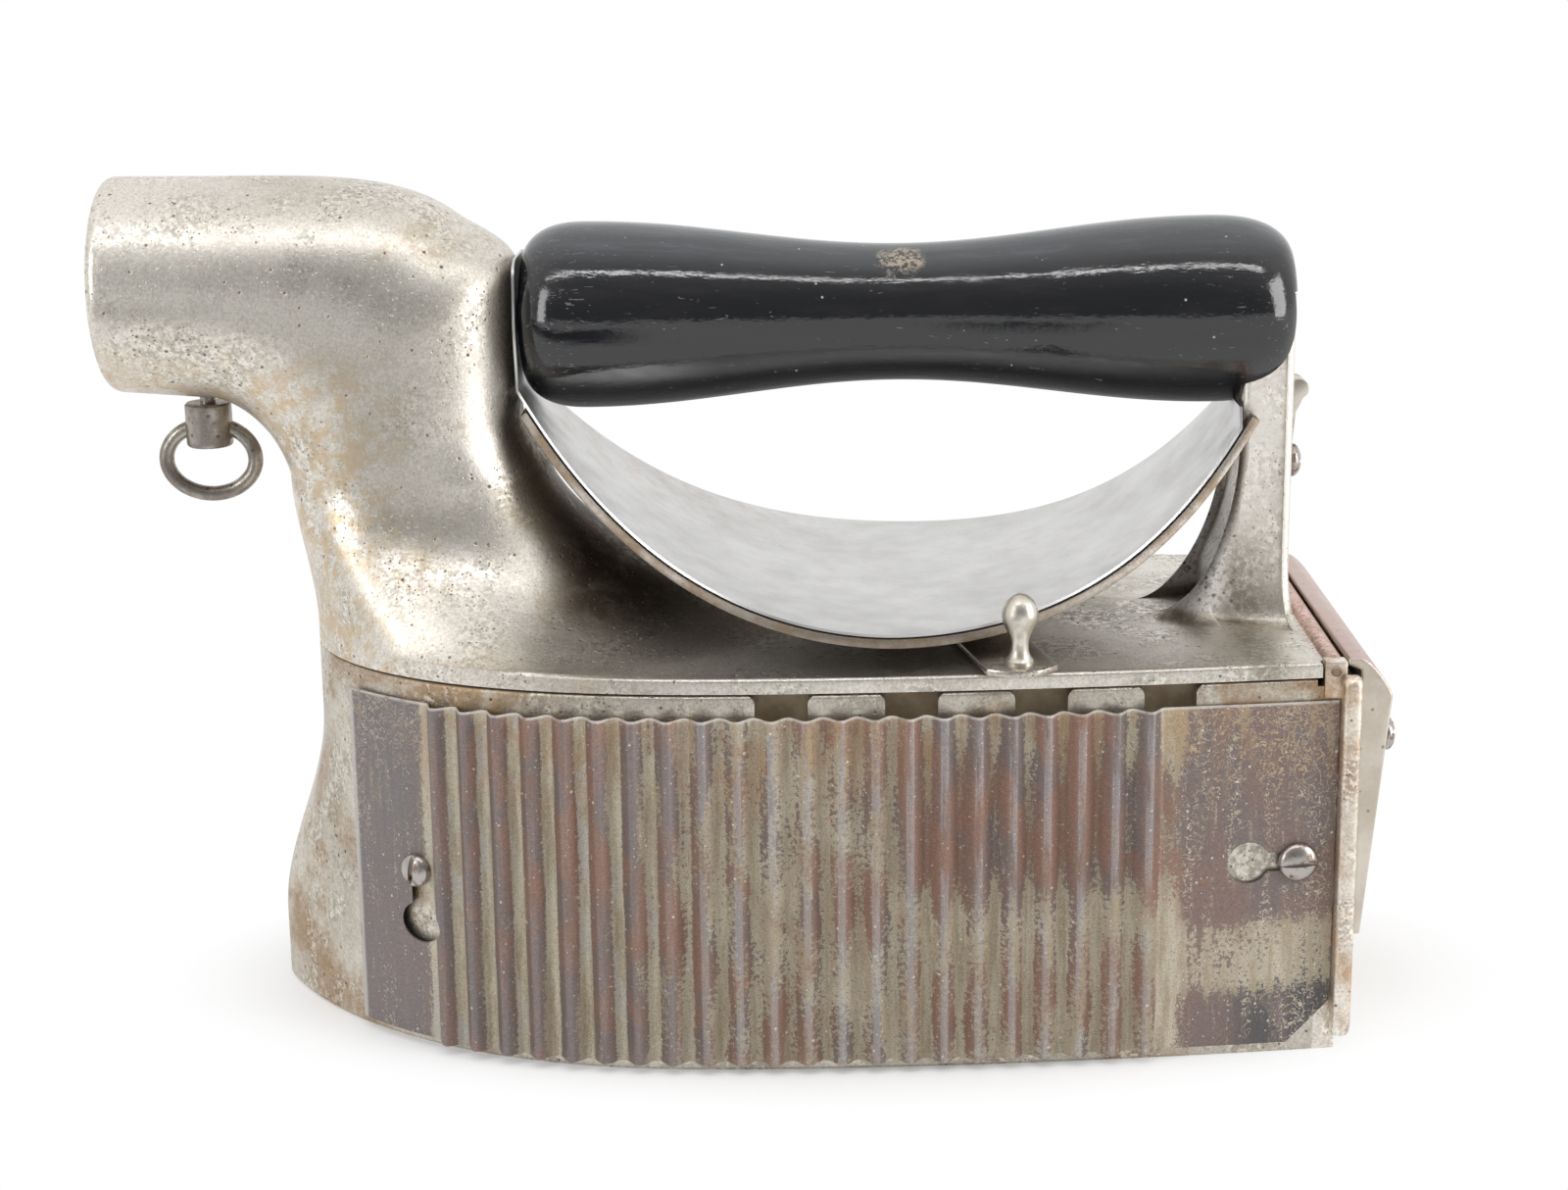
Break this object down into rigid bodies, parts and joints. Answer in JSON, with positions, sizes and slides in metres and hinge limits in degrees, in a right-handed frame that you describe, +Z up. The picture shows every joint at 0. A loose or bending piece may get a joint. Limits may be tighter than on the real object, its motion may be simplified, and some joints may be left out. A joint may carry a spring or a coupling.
{
  "type": "chimney iron",
  "caption": "Charcoal flat iron: iron box with corrugated side shields, hinged lid with elbow chimney and turned handle, damper and air lever.",
  "frame": {"origin": "on the plane of the flat sole, on the iron's centre line, near the widest beam", "axes": "+X towards the heel, +Y to the far side away from the air lever's knob, +Z up"},
  "size_m": [0.2423, 0.1113, 0.1615],
  "materials": {
    "nickelled_casting": "worn nickel plate on cast iron, finely pitted",
    "sooty_iron": "dull soot",
    "oxidised_sheet": "corrugated steel sheet, oxidised plating",
    "screw_steel": "dull grey steel, darkened slots",
    "hood_sheet": "worn plate with a warm tint",
    "pin_steel": "browned steel",
    "black_lacquer": "glossy black lacquer on turned wood, scratched",
    "rod_steel": "plain steel",
    "shield_band": "browned sheet, fine grain",
    "shield_liner": "pale polished sheet",
    "strip_steel": "worn plated strip",
    "damper_steel": "dark steel, bright where handled",
    "lever_plate": "worn nickel plate",
    "bright_nickel": "bright nickel plate"
  },
  "bodies": {
    "box": {"base_casting": "nickelled_casting", "fire_grate": "sooty_iron", "near_side_shield": "oxidised_sheet", "far_side_shield": "oxidised_sheet", "shield_screw_front_near": "screw_steel", "shield_screw_front_far": "screw_steel", "shield_screw_rear_near": "screw_steel", "shield_screw_rear_far": "screw_steel", "rear_hood": "hood_sheet", "hood_screw_near": "screw_steel", "hood_screw_far": "screw_steel", "hinge_pin": "pin_steel"},
    "lid": {"lid_casting": "nickelled_casting", "handle_grip": "black_lacquer", "handle_rod": "rod_steel", "heat_shield_outer": "shield_band", "heat_shield_liner": "shield_liner", "post_strip": "strip_steel", "post_strip_screw": "screw_steel", "lever_pivot_screw": "screw_steel"},
    "damper": {"damper_key": "damper_steel", "damper_flap": "sooty_iron"},
    "lever": {"air_lever": "lever_plate", "lever_knob": "bright_nickel"}
  },
  "joints": [
    {"name": "lid_hinge", "type": "hinge", "parent": "box", "child": "lid", "pos_m": [0.1009, 0, 0.0739], "axis": [0, 1, 0], "range_deg": [0, 95]},
    {"name": "damper_turn", "type": "hinge", "parent": "lid", "child": "damper", "pos_m": [-0.1116, 0, 0.1066], "axis": [0, 0, 1], "range_deg": [-90, 90]},
    {"name": "lever_swing", "type": "hinge", "parent": "lid", "child": "lever", "pos_m": [0.032, 0, 0.0778], "axis": [0, 0, 1], "range_deg": [-18, 8]}
  ]
}
